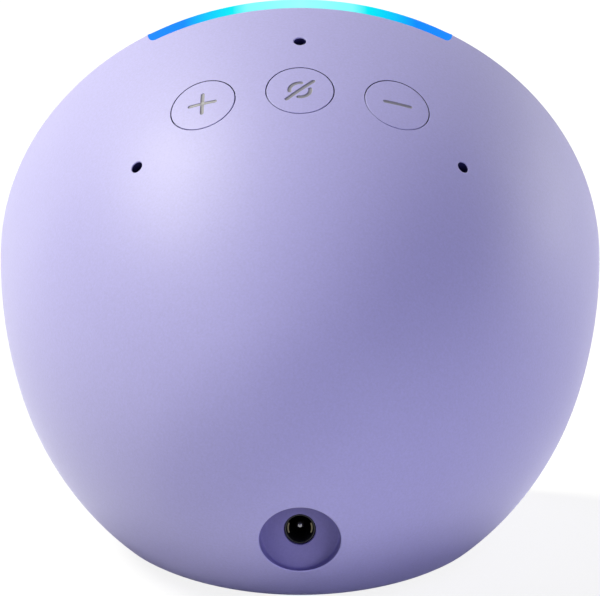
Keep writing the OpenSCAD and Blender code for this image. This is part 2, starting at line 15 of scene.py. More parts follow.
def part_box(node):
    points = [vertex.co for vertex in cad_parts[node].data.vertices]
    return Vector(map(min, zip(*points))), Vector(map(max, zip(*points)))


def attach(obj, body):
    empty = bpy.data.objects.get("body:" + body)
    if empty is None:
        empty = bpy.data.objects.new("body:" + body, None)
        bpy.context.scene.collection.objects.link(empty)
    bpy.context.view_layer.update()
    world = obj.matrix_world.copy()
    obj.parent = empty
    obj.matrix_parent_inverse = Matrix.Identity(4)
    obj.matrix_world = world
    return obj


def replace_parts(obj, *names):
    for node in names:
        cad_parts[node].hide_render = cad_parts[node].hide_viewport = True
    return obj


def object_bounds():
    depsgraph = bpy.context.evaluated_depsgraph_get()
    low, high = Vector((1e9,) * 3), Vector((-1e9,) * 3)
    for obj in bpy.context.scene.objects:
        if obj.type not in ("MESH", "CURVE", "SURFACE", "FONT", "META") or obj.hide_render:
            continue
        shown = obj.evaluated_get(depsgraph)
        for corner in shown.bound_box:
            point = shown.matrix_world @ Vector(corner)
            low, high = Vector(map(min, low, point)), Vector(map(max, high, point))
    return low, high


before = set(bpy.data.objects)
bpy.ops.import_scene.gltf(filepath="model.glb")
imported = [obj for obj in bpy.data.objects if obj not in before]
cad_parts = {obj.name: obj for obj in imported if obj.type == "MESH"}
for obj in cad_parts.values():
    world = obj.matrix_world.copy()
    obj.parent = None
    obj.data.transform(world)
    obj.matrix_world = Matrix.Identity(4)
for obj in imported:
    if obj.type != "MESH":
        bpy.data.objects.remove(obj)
cad_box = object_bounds()

MM = 0.001

# ---- The body's outline, as the CAD model has it ----

LEAN = math.radians(14)
AXIS = np.array([0.0, math.cos(LEAN), -math.sin(LEAN)])
FACE_UP = np.array([0.0, math.sin(LEAN), math.cos(LEAN)])
SIDE = np.array([1.0, 0.0, 0.0])

low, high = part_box("rear_shell")
RIM_R = (high.x - low.x) / 2 / MM
FOOT_H = 1.2                   # the shell's flat base above the table
RIM_Z = cad_box[1][2] / MM - RIM_R * math.cos(LEAN)
RIM_Y = low.y / MM + (RIM_Z - FOOT_H) * math.tan(LEAN)
RIM = np.array([0.0, RIM_Y, RIM_Z])

ARC_A_R = 140.0                # three tangent arcs from the rim back to the body's axis
ARC_A_TURN = math.radians(10)
ARC_B_R = 70.0
CAP_TURN = ARC_A_TURN + math.radians(37)
CAP_R = (RIM_R - ARC_A_R * (1 - math.cos(ARC_A_TURN))
         - ARC_B_R * (math.cos(ARC_A_TURN) - math.cos(CAP_TURN))) / math.cos(CAP_TURN)
ARC_B_X = RIM_R - ARC_A_R + (ARC_A_R - ARC_B_R) * math.cos(ARC_A_TURN)
ARC_B_S = (ARC_A_R - ARC_B_R) * math.sin(ARC_A_TURN)
CAP_S = ARC_B_S + (ARC_B_R - CAP_R) * math.sin(CAP_TURN)

WALL = 2.2
FLOOR_T = 2.4
LIP = 0.8                      # the rim's narrow edge round the fabric
RABBET_S = 2.5                 # depth of the step that takes the fabric's frame
BASE_ROUND = 1.0
RIM_ROUND = 0.35

BUTTON_S = 25.2                # behind the rim, along the body's axis
BUTTON_STEP = 19.8             # degrees between buttons
BUTTON_R = 5.5
BUTTON_GAP = 0.16
MIC_R = 1.02
MIC_PLACES = ((12.6, 0.0), (32.4, -36.0), (32.4, 36.0))
LIGHT_HALF = 30.4              # degrees from the bar's middle to its end
LIGHT_END = 1.7                # degrees over which its end is rounded
LIGHT_W = 2.8
INLET_Z = 15.3
RECESS_R = 6.68
RECESS_Y = 30.2                # the recess floor
SOCKET_R = 2.6
SOCKET_T = 1.8                 # the wall behind the recess floor
BASE_Y = -7.1                  # middle of the base's opening
PLATE_R = 25.1
BASE_HOLE_R = 20.0
DRIVER_S = 4.8
CONE_R = 19.2

BUTTON_N, MIC_N, RECESS_N, BASE_N = 112, 48, 144, 160      # points round each opening

EYE = RIM + 22 * AXIS          # the shell is seen all round from this inner point


def unit(v):
    return v / np.linalg.norm(v, axis=-1, keepdims=True)


def circle(n):
    """Cosines and sines of n even turns."""
    t = np.arange(n) * 2 * math.pi / n
    return np.cos(t), np.sin(t)


def lean_parts(p):
    """Distance behind the rim plane, sideways and up the face, of points."""
    q = p - RIM
    return q @ AXIS, q @ SIDE, q @ FACE_UP


def turns_of(p):
    """Degrees round the body's axis from the top of the face, of points."""
    _, x, u = lean_parts(p)
    return np.degrees(np.arctan2(x, u))


def from_lean(s, x, u):
    """Points from the three distances that lean_parts gives."""
    s, x, u = np.broadcast_arrays(*(np.asarray(v, float) for v in (s, x, u)))
    return RIM + s[..., None] * AXIS + x[..., None] * SIDE + u[..., None] * FACE_UP


def dome(p):
    """Signed distance to the three-arc dome, below zero inside."""
    s, x, u = lean_parts(p)
    r = np.hypot(x, u)
    turn = np.arctan2(s - ARC_B_S, r - ARC_B_X)
    arc_a = np.hypot(r - (RIM_R - ARC_A_R), s) - ARC_A_R
    arc_b = np.hypot(r - ARC_B_X, s - ARC_B_S) - ARC_B_R
    cap = np.hypot(r, s - CAP_S) - CAP_R
    return np.where(turn < ARC_A_TURN, arc_a, np.where(turn > CAP_TURN, cap, arc_b))


def outside(p):
    """Signed distance to the shell's outer surface, with its base edge rounded."""
    a = dome(p) + BASE_ROUND
    b = FOOT_H - p[..., 2] + BASE_ROUND
    return np.minimum(-BASE_ROUND, np.maximum(a, b) - BASE_ROUND) \
        + np.hypot(np.maximum(a, 0), np.maximum(b, 0))


def inside(p):
    """Signed distance to the shell's inner surface."""
    return np.maximum(dome(p) + WALL, FOOT_H + FLOOR_T - p[..., 2])


def solve(field, start, step, near, far, level=0.0):
    """Points on start + t * step where the field passes level, for t between near and far."""
    start, step = np.broadcast_arrays(start, step)
    lo = np.full(start.shape[:-1], float(near))
    hi = np.full(start.shape[:-1], float(far))
    sign = np.sign(field(start + hi[..., None] * step) - level)
    for _ in range(44):
        mid = (lo + hi) / 2
        same = np.sign(field(start + mid[..., None] * step) - level) == sign
        hi = np.where(same, mid, hi)
        lo = np.where(same, lo, mid)
    return start + hi[..., None] * step


def normals_of(field, p):
    h = 1e-3
    return unit(np.stack([field(p + h * e) - field(p - h * e) for e in np.eye(3)], -1))


def slope_at(s):
    """The dome's slope towards its axis at s behind the rim, on its first two arcs."""
    if s < ARC_A_R * math.sin(ARC_A_TURN):
        return math.asin(s / ARC_A_R)
    return math.asin((s - ARC_B_S) / ARC_B_R)


class Place:
    """A place on the dome: its middle, its outward normal, and directions across and towards the rim."""

    def __init__(self, s, turn):
        angle = math.radians(turn)
        radial = FACE_UP * math.cos(angle) + SIDE * math.sin(angle)
        slope = slope_at(s)
        self.out = radial * math.cos(slope) + AXIS * math.sin(slope)
        self.fore = radial * math.sin(slope) - AXIS * math.cos(slope)
        self.across = np.cross(self.fore, self.out)
        self.middle = solve(dome, RIM + s * AXIS, radial, 10, 60)

    def on(self, x, y, rise=0.0):
        """Points on the dome above the flat coordinates x, y, raised by rise along the place's normal."""
        x, y = np.broadcast_arrays(np.asarray(x, float), np.asarray(y, float))
        flat = self.middle + x[..., None] * self.across + y[..., None] * self.fore
        found = solve(dome, flat, self.out, -6, 3)
        return found + np.asarray(rise)[..., None] * self.out

    def ring(self, r, n, rise=0.0):
        c, s = circle(n)
        return self.on(r * c, r * s, rise)

    def flat_ring(self, r, n, z):
        """A ring in the flat plane at height z over the place's middle."""
        c, s = circle(n)
        return self.middle + np.outer(r * c, self.across) + np.outer(r * s, self.fore) + z * self.out


# ---- Mesh building ----

class Shape:
    """Vertices in millimetres with faces, made into one smooth Blender object."""

    def __init__(self):
        self.points = []
        self.normals = []
        self.faces = []
        self.count = 0

    def add(self, points, normals=None):
        points = np.asarray(points, float).reshape(-1, 3)
        n = len(points)
        self.points.append(points)
        self.normals.append(np.zeros((n, 3)) if normals is None else normals)
        self.count += n
        return np.arange(self.count - n, self.count)

    def bridge(self, a, b, closed=True):
        n = len(a)
        for i in range(n if closed else n - 1):
            j = (i + 1) % n
            self.faces.append((a[i], a[j], b[j], b[i]))

    def loft(self, loops):
        """Adds loops of the same length, joins them in order, and returns their indices."""
        made = [self.add(loop) for loop in loops]
        for a, b in zip(made, made[1:]):
            self.bridge(a, b)
        return made

    def cap(self, loop):
        middle = self.add(np.concatenate(self.points)[loop].mean(0))[0]
        n = len(loop)
        for i in range(n):
            self.faces.append((loop[i], loop[(i + 1) % n], middle))

    def build(self, name, material, body="body"):
        mesh = bpy.data.meshes.new(name)
        points = np.concatenate(self.points) * MM
        mesh.from_pydata(points.tolist(), [], [tuple(int(i) for i in f) for f in self.faces])
        work = bmesh.new()
        work.from_mesh(mesh)
        bmesh.ops.recalc_face_normals(work, faces=work.faces)
        if work.calc_volume(signed=True) < 0:
            bmesh.ops.reverse_faces(work, faces=work.faces)
        work.to_mesh(mesh)
        work.free()
        mesh.shade_smooth()
        normals = np.concatenate(self.normals)
        if np.abs(normals).max() > 0:
            mesh.normals_split_custom_set_from_vertices(normals.tolist())
        obj = bpy.data.objects.new(name, mesh)
        bpy.context.scene.collection.objects.link(obj)
        mesh.materials.append(material)
        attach(obj, body)
        return obj


def corner(a, b, c, steps=4):
    """Loops that round the corner b between loops a and c, both ends included."""
    out = []
    for k in range(steps + 1):
        t = k / steps
        out.append((1 - t) ** 2 * a + 2 * t * (1 - t) * b + t ** 2 * c)
    return out


def in_polygon(points, polygon):
    """Which 2D points lie inside a closed 2D polygon."""
    x, y = points[:, 0], points[:, 1]
    found = np.zeros(len(points), bool)
    x0, y0 = polygon[:, 0], polygon[:, 1]
    x1, y1 = np.roll(x0, -1), np.roll(y0, -1)
    for i in range(len(polygon)):
        if y0[i] == y1[i]:
            continue
        crosses = (y0[i] > y) != (y1[i] > y)
        at = (x1[i] - x0[i]) * (y - y0[i]) / (y1[i] - y0[i]) + x0[i]
        found ^= crosses & (x < at)
    return found


def round_edges(index):
    return list(zip(index, np.roll(index, -1)))


def triangulate(points, edges, outline, holes):
    """Triangles over 2D points that keep the given edges, inside the outline and outside the holes."""
    vectors = [Vector(p) for p in points]
    made = delaunay_2d_cdt(vectors, [tuple(int(i) for i in e) for e in edges], [], 0, 1e-9)
    came_from = [origins[0] if origins else -1 for origins in made[3]]
    tris = np.array([[came_from[i] for i in f] for f in made[2]])
    tris = tris[(tris >= 0).all(1)]
    middles = points[tris].mean(1)
    keep = in_polygon(middles, outline)
    for hole in holes:
        keep &= ~in_polygon(middles, hole)
    return tris[keep]


def renumbered(tris, count):
    """The points that triangles use, and each point's new number among them."""
    used = np.unique(tris)
    new = np.full(count, -1)
    new[used] = np.arange(len(used))
    return used, new


# ---- Rear shell ----

def light_edge(turn):
    """How far behind the rim the light bar reaches at an angle round the body, with rounded ends."""
    past = np.clip((np.abs(turn) - (LIGHT_HALF - LIGHT_END)) / LIGHT_END, 0, 1)
    return LIGHT_W * np.sqrt(1 - past ** 2)


def rim_turns():
    """Angles round the rim, closer together at the light bar's ends and at the base's corners."""
    low_corner = 180 - math.degrees(math.acos((RIM_Z - FOOT_H) / math.cos(LEAN) / RIM_R))
    turns = list(np.arange(-180, 180, 0.5))
    for side in (-1, 1):
        turns += list(side * (LIGHT_HALF - LIGHT_END * (1 - np.cos(np.linspace(0, math.pi / 2, 14)))))
        turns += list(side * low_corner + np.linspace(-1.5, 1.5, 13))
    turns = np.sort(np.array(turns))
    return turns[np.concatenate([[True], np.diff(turns) > 0.04])]


def rim_loop(turns, s, depth):
    """The loop in the planes s behind the rim that lies depth inside the outer surface."""
    s = np.broadcast_to(s, turns.shape)
    t = np.radians(turns)
    away = np.outer(np.sin(t), SIDE) + np.outer(np.cos(t), FACE_UP)
    return solve(outside, RIM + s[:, None] * AXIS, away, 20, 56, -depth)


def to_flat(p):
    """Directions seen from EYE, laid flat round the body's axis."""
    d = unit(p - EYE)
    rho = np.arccos(np.clip(d @ AXIS, -1, 1))
    phi = np.arctan2(d @ SIDE, d @ FACE_UP)
    return np.stack([rho * np.sin(phi), rho * np.cos(phi)], -1)


def onto_shell(p):
    return solve(outside, EYE, unit(p - EYE), 5, 90)


def inlet_loop(r, y, n=RECESS_N):
    c, s = circle(n)
    return np.stack([r * c, np.full(n, float(y)), INLET_Z + r * s], -1)


def recess_ring(r, sink=0.0):
    """Where a cylinder of radius r about the inlet's axis meets the shell, sunk along that axis."""
    return solve(outside, inlet_loop(r, 20), np.array([0.0, 1.0, 0.0]), 0, 30) - np.array([0, sink, 0])


def base_loop(r, z):
    c, s = circle(BASE_N)
    return np.stack([r * c, BASE_Y + r * s, np.full(BASE_N, float(z))], -1)


def base_edge_rows():
    """Rows of points along the edge between the dome and the flat base, clear of the plate's opening."""
    t = np.radians(np.arange(-57, 237.1, 2.2))
    flat = np.stack([np.cos(t), np.sin(t), np.zeros_like(t)], -1)
    edge = solve(dome, np.array([0, BASE_Y, FOOT_H]), flat, 10, 60)
    up = normals_of(dome, edge)
    climb = unit(np.array([0, 0, 1.0]) - (up @ np.array([0, 0, 1.0]))[:, None] * up)
    rows = []
    for step in (-1.4, -0.7, -0.36, -0.18, 0, 0.18, 0.36, 0.7, 1.4):
        row = onto_shell(edge + step * (climb if step > 0 else flat))
        from_plate = np.hypot(row[:, 0], row[:, 1] - BASE_Y) - PLATE_R
        kept = np.flatnonzero((lean_parts(row)[0] > 0.8) & (from_plate > 0.7))
        rows += np.split(row[kept], np.flatnonzero(np.diff(kept) > 1) + 1)
    return rows


def fibonacci_points(count):
    """Points spread evenly over the whole shell, as seen from EYE."""
    i = np.arange(count) + 0.5
    rho = np.arccos(1 - 2 * i / count)
    phi = math.pi * (1 + 5 ** 0.5) * i
    d = np.outer(np.cos(rho), AXIS) + (np.sin(rho) * np.sin(phi))[:, None] * SIDE \
        + (np.sin(rho) * np.cos(phi))[:, None] * FACE_UP
    return onto_shell(EYE + d)


def far_from(points, others, gap):
    """Which points keep a gap from all the others."""
    keep = np.ones(len(points), bool)
    for start in range(0, len(points), 500):
        part = points[start:start + 500]
        near = np.linalg.norm(part[:, None] - others[None], axis=-1).min(1)
        keep[start:start + 500] = near > gap
    return keep


def inner_points(p, s_rim, s_in):
    """The inner surface's points that belong to outer points p: straight through the wall, but turned
    towards EYE at the edges, drawn back to s_in at the rim, and spread out round the inlet's boss."""
    edge_zone, rim_zone, inlet_zone = 9.0, 9.0, 14.0
    recess_zone, boss_r, boss_y = 6.4, 9.2, 15.0
    edge = np.maximum(np.abs(dome(p)), np.abs(p[:, 2] - FOOT_H))
    mix = np.clip(1 - edge / edge_zone, 0, 1)
    mix = (mix * mix * (3 - 2 * mix))[:, None]
    step = unit(-normals_of(outside, p) * (1 - mix) + unit(EYE - p) * mix)
    q = solve(inside, p, step, 0, 18)

    s, x, u = lean_parts(q)
    part = np.clip((lean_parts(p)[0] - s_rim) / (rim_zone - s_rim), 0, 1)
    near_rim = part < 1
    target = s_in + part * (rim_zone - s_in) + np.clip(s - rim_zone, 0, None)
    away = unit(x[:, None] * SIDE + u[:, None] * FACE_UP)
    start = RIM + target[:, None] * AXIS
    q[near_rim] = solve(inside, start[near_rim], away[near_rim], 15, 56)

    side, height = q[:, 0], q[:, 2] - INLET_Z
    r = np.hypot(side, height)
    floor_depth = INLET_Z - FOOT_H - FLOOR_T
    end = np.minimum(inlet_zone, floor_depth * r / np.maximum(-height, 1e-6))
    close = (r < end - 0.001) & (q[:, 1] > boss_y)
    wide = boss_r + (r - recess_zone) * (end - boss_r) / (end - recess_zone)
    scale = np.where(close, wide / np.maximum(r, 1e-6), 1)
    start = np.stack([side * scale, np.full(len(q), boss_y), INLET_Z + height * scale], -1)
    q[close] = solve(inside, start[close], np.array([0.0, 1.0, 0.0]), 0, 40)
    return q


def shell_holes():
    """The shell's openings. Each has the rings round it, the loops down its wall, the look of its
    deeper bands (painted shade for a gap or the recess, none for the base), and the first band
    that has that look."""
    holes = []
    for turn in (-BUTTON_STEP, 0, BUTTON_STEP):
        place, r, e, n = Place(BUTTON_S, turn), BUTTON_R + BUTTON_GAP, 0.08, BUTTON_N
        rings = [place.ring(r + e + g, n) for g in (0, 0.25, 0.6, 1.1)]
        walls = corner(rings[0], place.ring(r, n), place.ring(r, n, -e))[1:]
        walls += [place.ring(r, n, -1.0), place.ring(r, n, -2.0)]
        # The button gap's deeper wall bands take painted shade.
        holes.append((rings, walls, "gap", 2))
    for s, turn in MIC_PLACES:
        place, r, e, n = Place(s, turn), MIC_R, 0.16, MIC_N
        rings = [place.ring(r + e + g, n) for g in (0, 0.15, 0.4, 0.8)]
        walls = corner(rings[0], place.ring(r, n), place.ring(r, n, -0.2))[1:]
        walls += [place.ring(r, n, -1.2), place.ring(r, n, -2.1)]
        # The mic hole's deeper wall bands take painted shade.
        holes.append((rings, walls, "gap", 4))

    e, floor_e, socket_e = 0.3, 0.45, 0.2
    back = RECESS_Y - SOCKET_T
    rings = [recess_ring(RECESS_R + e + g) for g in (0, 0.3, 0.8, 1.5)]
    boss = rings[0] - WALL * normals_of(outside, rings[0])
    boss[:, 1] = back
    walls = corner(rings[0], recess_ring(RECESS_R), recess_ring(RECESS_R, e * 1.3), 5)[1:]
    walls += corner(inlet_loop(RECESS_R, RECESS_Y + floor_e), inlet_loop(RECESS_R, RECESS_Y),
                    inlet_loop(RECESS_R - floor_e, RECESS_Y), 6)
    walls += [inlet_loop(5.0, RECESS_Y), inlet_loop(4.0, RECESS_Y)]
    walls += corner(inlet_loop(SOCKET_R + socket_e, RECESS_Y), inlet_loop(SOCKET_R, RECESS_Y),
                    inlet_loop(SOCKET_R, RECESS_Y - socket_e))
    walls += [inlet_loop(SOCKET_R, back), boss]
    # From part way round its rounded lip, the recess's wall, floor and socket take painted shade.
    holes.append((rings, walls, "recess", 4))

    e, seat = 0.2, FOOT_H + 1.2
    rings = [base_loop(PLATE_R + e + g, FOOT_H) for g in (0, 0.3)]
    walls = corner(rings[0], base_loop(PLATE_R, FOOT_H), base_loop(PLATE_R, FOOT_H + e))[1:]
    walls += [base_loop(PLATE_R, seat), base_loop(BASE_HOLE_R, seat),
              base_loop(BASE_HOLE_R, FOOT_H + FLOOR_T)]
    holes.append((rings, walls, None, 0))
    return holes


def shell_surface(rim, holes):
    """The outer surface's points and triangles: rings and base rows joined up, and even points between."""
    fixed = [rim] + [ring for rings, *_ in holes for ring in rings]
    rows = base_edge_rows()
    spread = fibonacci_points(17000)
    s = lean_parts(spread)[0]
    spread = spread[(s > 1.4) & (s > light_edge(turns_of(spread)) + 0.9)]
    spread = spread[far_from(spread, np.concatenate(fixed + rows), 0.75)]

    groups = fixed + rows + [spread]
    starts = np.cumsum([0] + [len(group) for group in groups])
    points = np.concatenate(groups)
    indices = [np.arange(a, b) for a, b in zip(starts, starts[1:])]
    edges = []
    for index in indices[:len(fixed)]:
        edges += round_edges(index)
    for index in indices[len(fixed):-1]:
        edges += list(zip(index, index[1:]))

    firsts = np.cumsum([1] + [len(rings) for rings, *_ in holes])[:-1]
    mouths = [indices[first] for first in firsts]
    flat = to_flat(points)
    openings = [flat[mouth] for mouth in mouths]
    tris = triangulate(flat, edges, flat[indices[0]], openings)
    loose = np.arange(len(points)) >= starts[len(fixed)]
    in_hole = np.zeros(len(points), bool)
    for opening in openings:
        in_hole |= in_polygon(flat, opening)
    tris = tris[~(loose & in_hole)[tris].any(1)]
    return points, tris, mouths


def make_rear_shell(material, recess_shade_material, gap_shade_material):
    shape = Shape()
    turns = rim_turns()
    lit = np.abs(turns) < LIGHT_HALF
    s_edge = np.where(lit, light_edge(turns) + 0.04, 0)
    fillet = np.where(lit, 0.08, RIM_ROUND)
    s_rim = s_edge + fillet
    s_in = np.maximum(RABBET_S, s_edge + 0.3)
    rim = rim_loop(turns, s_rim, 0)
    holes = shell_holes()
    points, tris, mouths = shell_surface(rim, holes)

    used, new = renumbered(tris, len(points))
    points, tris = points[used], new[tris]
    outer = shape.add(points, normals_of(outside, points))
    shape.faces += [tuple(outer[t]) for t in tris]
    turns_now = turns_of(points)
    inner = shape.add(inner_points(points, np.interp(turns_now, turns, s_rim, period=360),
                                   np.interp(turns_now, turns, s_in, period=360)))
    shape.faces += [tuple(inner[t[::-1]]) for t in tris]

    lip_e = 0.15
    rim_out = new[:len(rim)]
    walls = corner(rim, rim_loop(turns, s_edge, 0), rim_loop(turns, s_edge, fillet), 4)[1:]
    walls += corner(rim_loop(turns, s_edge, LIP - lip_e), rim_loop(turns, s_edge, LIP),
                    rim_loop(turns, s_edge + lip_e, LIP), 2)
    walls.append(rim_loop(turns, s_in, LIP))
    loops = [rim_out] + [shape.add(wall) for wall in walls] + [inner[rim_out]]
    for a, b in zip(loops, loops[1:]):
        shape.bridge(a, b)
    # Deep wall bands take the darker recess and gap materials: painted shade.
    painted = {"recess": [], "gap": []}
    for mouth, (_, walls, look, first) in zip(mouths, holes):
        loops = [new[mouth]] + [shape.add(wall) for wall in walls] + [inner[new[mouth]]]
        for k, (a, b) in enumerate(zip(loops, loops[1:])):
            if look and k >= first:
                painted[look] += range(len(shape.faces), len(shape.faces) + len(b))
            shape.bridge(a, b)

    shell = shape.build("shell_moulding", material)
    for index, (look, extra) in enumerate((("recess", recess_shade_material), ("gap", gap_shade_material)), 1):
        shell.data.materials.append(extra)
        for face in painted[look]:
            shell.data.polygons[face].material_index = index
    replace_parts(shell, "rear_shell")


# ---- Buttons ----

def pointing(t):
    return np.array([math.cos(t), math.sin(t)])


def stadium(reach, w):
    """Outline of a level stroke from -reach to reach, of half width w, with round ends."""
    ends = [np.array([x, 0]) + w * pointing(t) for x, turn in ((reach, -math.pi / 2), (-reach, math.pi / 2))
            for t in turn + np.linspace(0, math.pi, 9)]
    half = len(ends) // 2
    sides = [ends[half - 1] + (ends[half] - ends[half - 1]) * k / 12 for k in range(1, 12)]
    back = [ends[-1] + (ends[0] - ends[-1]) * k / 12 for k in range(1, 12)]
    return np.array(ends[:half] + sides + ends[half:] + back)


def plus_outline(reach, w):
    arm = [np.array([w + (reach - w) * k / 5, w]) for k in range(5)]
    arm += [np.array([reach, 0]) + w * pointing(t) for t in np.linspace(math.pi / 2, -math.pi / 2, 9)]
    arm += [np.array([reach - (reach - w) * k / 5, -w]) for k in range(1, 5)]
    return np.concatenate([turned(np.array(arm), -90 * k) for k in range(4)])[::-1]


def arc_outline(r, start, end, w):
    """Outline of a stroke along an arc of radius r, with round ends."""
    start, end = math.radians(start), math.radians(end)
    turns = np.linspace(start, end, 22)
    halves = np.linspace(0, math.pi, 9)[1:-1]
    outer = [(r + w) * pointing(t) for t in turns]
    inner = [(r - w) * pointing(t) for t in turns[::-1]]
    tip = [r * pointing(end) + w * pointing(end + t) for t in halves]
    tail = [r * pointing(start) - w * pointing(start + t) for t in halves]
    return np.array(outer + tip + inner + tail)


def turned(points, degrees, shift=(0, 0)):
    t = math.radians(degrees)
    return points @ np.array([[math.cos(t), math.sin(t)], [-math.sin(t), math.cos(t)]]) + shift


ICON_REACH = 2.2
ICON_SHIFT = (0, 0.12)
STROKE = 0.33                  # half the width of an icon's strokes


def plus_icon(w):
    return [turned(plus_outline(ICON_REACH, w), -6, ICON_SHIFT)]


def minus_icon(w):
    return [turned(stadium(ICON_REACH, w), 6, ICON_SHIFT)]


def mic_off_icon(w):
    return [turned(stadium(3.1, w), 45), arc_outline(1.72, 82, 189, w), arc_outline(1.72, -98, 8, w)]


def make_button(name, body, node, turn, icon, material, paint):
    """A cap with its icon sunk into the top, its flange and its stem."""
    place = Place(BUTTON_S, turn)
    shape = Shape()
    n, e = BUTTON_N, 0.09
    rims = [np.stack(circle(n), -1) * (BUTTON_R - e - g) for g in (0, 0.25)]
    halos = icon(STROKE + 0.12)
    outlines = icon(STROKE + 0.05)
    grid = np.arange(-5.4, 5.5, 0.36)
    x, y = np.meshgrid(grid, grid * 0.97)
    spread = np.stack([x.ravel() + 0.18 * (np.arange(x.size) // len(grid) % 2), y.ravel()], -1)
    spread = spread[np.hypot(*spread.T) < BUTTON_R - e - 0.45]
    spread = spread[far_from(spread, np.concatenate(halos), 0.16)]

    groups = rims + halos + outlines + [spread]
    starts = np.cumsum([0] + [len(group) for group in groups])
    points = np.concatenate(groups)
    indices = [np.arange(a, b) for a, b in zip(starts, starts[1:])]
    edges = []
    for index in indices[:-1]:
        edges += round_edges(index)
    tris = triangulate(points, edges, rims[0], outlines)
    used, new = renumbered(tris, len(points))
    top = place.on(*points[used].T)
    made = shape.add(top, normals_of(dome, top))
    shape.faces += [tuple(made[new[t]]) for t in tris]

    painted = []
    sunk = ((STROKE, -0.035), (STROKE - 0.03, -0.12), (STROKE - 0.07, -0.15))
    for k, index in enumerate(indices[len(rims) + len(halos):-1]):
        lines = [icon(w)[k] for w, _ in sunk]
        loops = [made[new[index]]]
        loops += [shape.add(place.on(*line.T, rise)) for line, (_, rise) in zip(lines, sunk)]
        shape.bridge(loops[0], loops[1])
        first = len(shape.faces)
        for a, b in zip(loops[1:], loops[2:]):
            shape.bridge(a, b)
        floor = delaunay_2d_cdt([Vector(p) for p in lines[-1]],
                                [(i, (i + 1) % len(index)) for i in range(len(index))], [], 1, 1e-9)
        shape.faces += [tuple(loops[-1][floor[3][i][0]] for i in f) for f in floor[2]]
        painted += range(first, len(shape.faces))

    side = corner(place.ring(BUTTON_R - e, n), place.ring(BUTTON_R, n), place.ring(BUTTON_R, n, -e), 4)[1:]
    side.append(place.ring(BUTTON_R, n, -1.0))
    flange_r, stem_r = BUTTON_R + 1, 1.5
    for r, z in ((BUTTON_R, -2.9), (flange_r - 0.1, -2.9), (flange_r, -3.0), (flange_r, -3.6),
                 (flange_r - 0.1, -3.7), (stem_r + 0.1, -3.7), (stem_r, -3.8), (stem_r, -5.7),
                 (stem_r - 0.1, -5.8)):
        side.append(place.flat_ring(r, n, z))
    loops = [made[new[:n]]] + [shape.add(loop) for loop in side]
    for a, b in zip(loops, loops[1:]):
        shape.bridge(a, b)
    shape.cap(loops[-1])
    obj = shape.build(name, material, body)
    obj.data.materials.append(paint)
    for face in painted:
        obj.data.polygons[face].material_index = 1
    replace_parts(obj, node)


# ---- Light bar, fabric face, foot, driver's edge and power jack ----

def make_light_bar(material):
    """The lit band that fills the notch in the shell's rim, with rounded ends."""
    shape = Shape()
    ends = LIGHT_HALF - LIGHT_END * (1 - np.cos(np.linspace(0.12, math.pi / 2, 12)))
    even = np.linspace(LIGHT_END - LIGHT_HALF, LIGHT_HALF - LIGHT_END, 140)
    turns = np.unique(np.concatenate([-ends, ends, even]))
    reach = light_edge(turns)
    size = np.clip(reach / LIGHT_W, 0.05, 1)
    front, depth = 0.03, LIP - 0.02
    front_e, back_e = 0.32 * size, 0.07 * size
    far = np.maximum(reach, 0.12)

    def loop(s, sink):
        return rim_loop(turns, s, sink)

    rows = [loop(front, depth)]
    rows += corner(loop(front, front_e), loop(front, 0), loop(front + front_e, 0), 5)
    for part in np.linspace(0, 1, 8)[1:-1]:
        rows.append(loop(front + front_e + part * (far - front - front_e - back_e), 0))
    rows += corner(loop(far - back_e, 0), loop(far, 0), loop(far, back_e), 3)
    rows.append(loop(far, depth))
    made = [shape.add(row) for row in rows]
    for a, b in zip(made, made[1:] + made[:1]):
        shape.bridge(a, b, closed=False)
    for end in (0, -1):
        shape.cap(np.array([row[end] for row in made]))
    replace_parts(shape.build("light_guide", material), "light_bar")


def face_loop(r, s, low_z, n=360):
    """A round loop in the plane s behind the rim, cut off level at low_z."""
    cut = (low_z - RIM_Z - s * AXIS[2]) / FACE_UP[2]
    edge = math.acos(np.clip(-cut / r, -1, 1))
    flat_share = 60
    arc = np.linspace(-math.pi + edge, math.pi - edge, n - flat_share)
    u, x = r * np.cos(arc), r * np.sin(arc)
    along = np.linspace(x[-1], x[0], flat_share + 2)[1:-1]
    return from_lean(s, np.concatenate([x, along]), np.concatenate([u, np.full(flat_share, cut)]))


def make_fabric(material):
    """The knitted face: one cloth stretched over the frame and tucked round its edge."""
    shape = Shape()
    r, low_z = RIM_R - LIP - 0.1, FOOT_H + LIP + 0.1
    front, thick, bend = 0.1, 0.25, 0.9
    skirt = 2.0 * AXIS
    middle = from_lean(front, 0, 0)
    whole = face_loop(r, front, low_z)
    inset = face_loop(r - thick, front, low_z + thick)

    def shrunk(loop, part, rise=0.0):
        return middle + (loop - middle) * part + rise * AXIS

    loops = [shrunk(whole, p) for p in (0.01, 0.1, 0.2, 0.3, 0.4, 0.5, 0.6, 0.7, 0.8, 0.88, 0.94)]
    loops += corner(shrunk(whole, 0.982), whole, whole + bend * AXIS, 7)
    loops += [whole + skirt, inset + skirt]
    loops += corner(inset + bend * AXIS, inset + thick * AXIS, shrunk(inset, 0.982, thick), 7)
    loops += [shrunk(inset, p, thick) for p in (0.9, 0.7, 0.5, 0.3, 0.1, 0.01)]
    made = shape.loft(loops)
    shape.cap(made[0])
    shape.cap(made[-1])
    cloth = shape.build("knit_face", material)
    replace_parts(cloth, "fabric_cover")


def lathe(name, profile, at, material, body="body", n=128, open_middle=False):
    """A turned piece: profile is (radius, height) pairs, at turns x, y and height into a place."""
    shape = Shape()
    c, s = circle(n)
    made = shape.loft([at(r * c, r * s, np.full(n, float(h))) for r, h in profile])
    if open_middle:
        shape.bridge(made[-1], made[0])
    else:
        shape.cap(made[0])
        shape.cap(made[-1])
    return shape.build(name, material, body)


def on_base(x, y, z):
    return np.stack([x, BASE_Y + y, z], -1)


